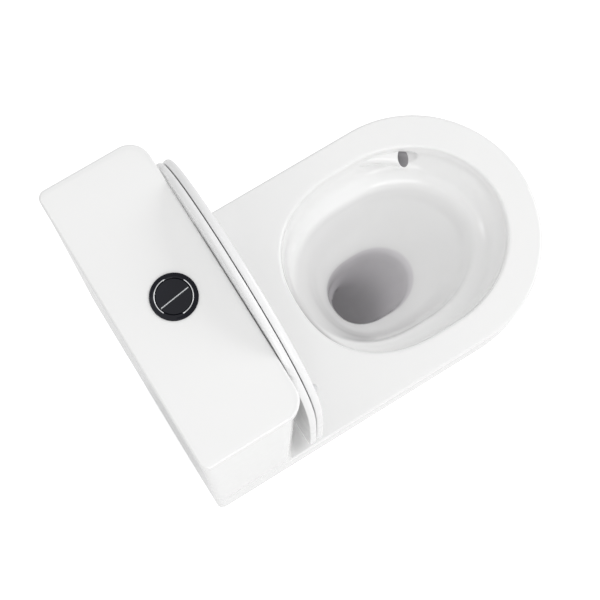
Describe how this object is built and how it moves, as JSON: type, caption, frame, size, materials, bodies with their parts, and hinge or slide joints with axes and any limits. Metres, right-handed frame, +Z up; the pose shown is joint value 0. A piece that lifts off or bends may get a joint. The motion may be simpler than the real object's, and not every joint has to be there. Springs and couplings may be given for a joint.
{
  "type": "close coupled toilet",
  "caption": "Skirted china toilet pan with a rimless bowl, a cistern bolted on its rear platform, a slim soft-close seat and lid, and a dual flush button over working valve gear.",
  "frame": {"origin": "on the floor, at the centre of the overall width and depth", "axes": "+Z up, -Y forwards out of the front of the pan, +Y towards the wall, +X towards the flush duct side"},
  "size_m": [0.372, 0.6346, 0.8735],
  "materials": {
    "china": "glossy white glaze",
    "seat_gloss": "glossy white",
    "dark_chrome": "dark mirror plating",
    "chrome": "mirror plating",
    "steel": "satin",
    "brass": "satin",
    "rubber": "matt black",
    "clear_buffer": "translucent soft plastic",
    "white_plastic": "moulded white",
    "blue_plastic": "moulded blue",
    "red_plastic": "moulded red",
    "grey_plastic": "moulded grey"
  },
  "bodies": {
    "base": {"pan": "china", "cistern_body": "china", "flush_valve_cage": "white_plastic", "flush_valve_head": "white_plastic", "flush_valve_washer": "rubber", "flush_valve_back_nut": "white_plastic", "close_coupling_gasket": "rubber", "fill_valve_body": "white_plastic", "fill_valve_washer": "rubber", "fill_valve_back_nut": "white_plastic", "float_arm_pin": "steel", "coupling_bolt_left": "brass", "coupling_rubber_washer_left": "rubber", "coupling_steel_washer_left": "steel", "coupling_wing_nut_left": "brass", "hinge_post_left": "chrome", "hinge_pin_left": "steel", "hinge_washer_left": "rubber", "hinge_nut_left": "white_plastic", "floor_bracket_left": "white_plastic", "floor_screw_left": "steel", "side_screw_left": "steel", "screw_cap_left": "seat_gloss", "coupling_bolt_right": "brass", "coupling_rubber_washer_right": "rubber", "coupling_steel_washer_right": "steel", "coupling_wing_nut_right": "brass", "hinge_post_right": "chrome", "hinge_pin_right": "steel", "hinge_washer_right": "rubber", "hinge_nut_right": "white_plastic", "floor_bracket_right": "white_plastic", "floor_screw_right": "steel", "side_screw_right": "steel", "screw_cap_right": "seat_gloss"},
    "toilet_lid": {"toilet_lid": "seat_gloss", "lid_buffer_left": "clear_buffer", "lid_buffer_right": "clear_buffer"},
    "toilet_seat": {"toilet_seat": "seat_gloss", "seat_buffer_front_left": "clear_buffer", "seat_buffer_front_right": "clear_buffer", "seat_buffer_rear_left": "clear_buffer", "seat_buffer_rear_right": "clear_buffer"},
    "cistern_lid": {"cistern_lid": "china", "button_bezel": "dark_chrome", "button_lock_nut": "white_plastic"},
    "full_flush_button": {"full_flush_button": "dark_chrome", "full_flush_rod": "blue_plastic"},
    "half_flush_button": {"half_flush_button": "dark_chrome", "half_flush_rod": "white_plastic"},
    "flush_valve_core": {"flush_valve_overflow_tube": "blue_plastic", "flush_valve_seal": "rubber"},
    "float_arm": {"float_arm": "grey_plastic", "float_adjusting_rod": "red_plastic", "fill_valve_float": "grey_plastic"}
  },
  "joints": [
    {"name": "lid_hinge", "type": "hinge", "parent": "base", "child": "toilet_lid", "pos_m": [0, 0.15125, 0.414], "axis": [1, 0, 0], "range_deg": [0, 92.2]},
    {"name": "seat_hinge", "type": "hinge", "parent": "toilet_lid", "child": "toilet_seat", "pos_m": [0, 0.15125, 0.414], "axis": [-1, 0, 0], "range_deg": [-92.2, 0]},
    {"name": "cistern_lid_lift", "type": "slide", "parent": "base", "child": "cistern_lid", "axis": [0, 0, 1], "range_m": [0, 0.2]},
    {"name": "full_flush_button", "type": "slide", "parent": "cistern_lid", "child": "full_flush_button", "axis": [0, 0, -1], "range_m": [0, 0.006], "stiffness_N_per_m": 600, "springref_m": -0.003},
    {"name": "half_flush_button", "type": "slide", "parent": "cistern_lid", "child": "half_flush_button", "axis": [0, 0, -1], "range_m": [0, 0.006], "stiffness_N_per_m": 600, "springref_m": -0.003},
    {"name": "flush_valve_lift", "type": "slide", "parent": "base", "child": "flush_valve_core", "axis": [0, 0, 1], "range_m": [0, 0.011]},
    {"name": "float_arm", "type": "hinge", "parent": "base", "child": "float_arm", "pos_m": [-0.099, 0.25025, 0.7544], "axis": [0, -1, 0], "range_deg": [0, 15]}
  ],
  "couplings": [
    {"joint": "flush_valve_lift", "follows": "full_flush_button", "ratio": 1.6667}
  ]
}
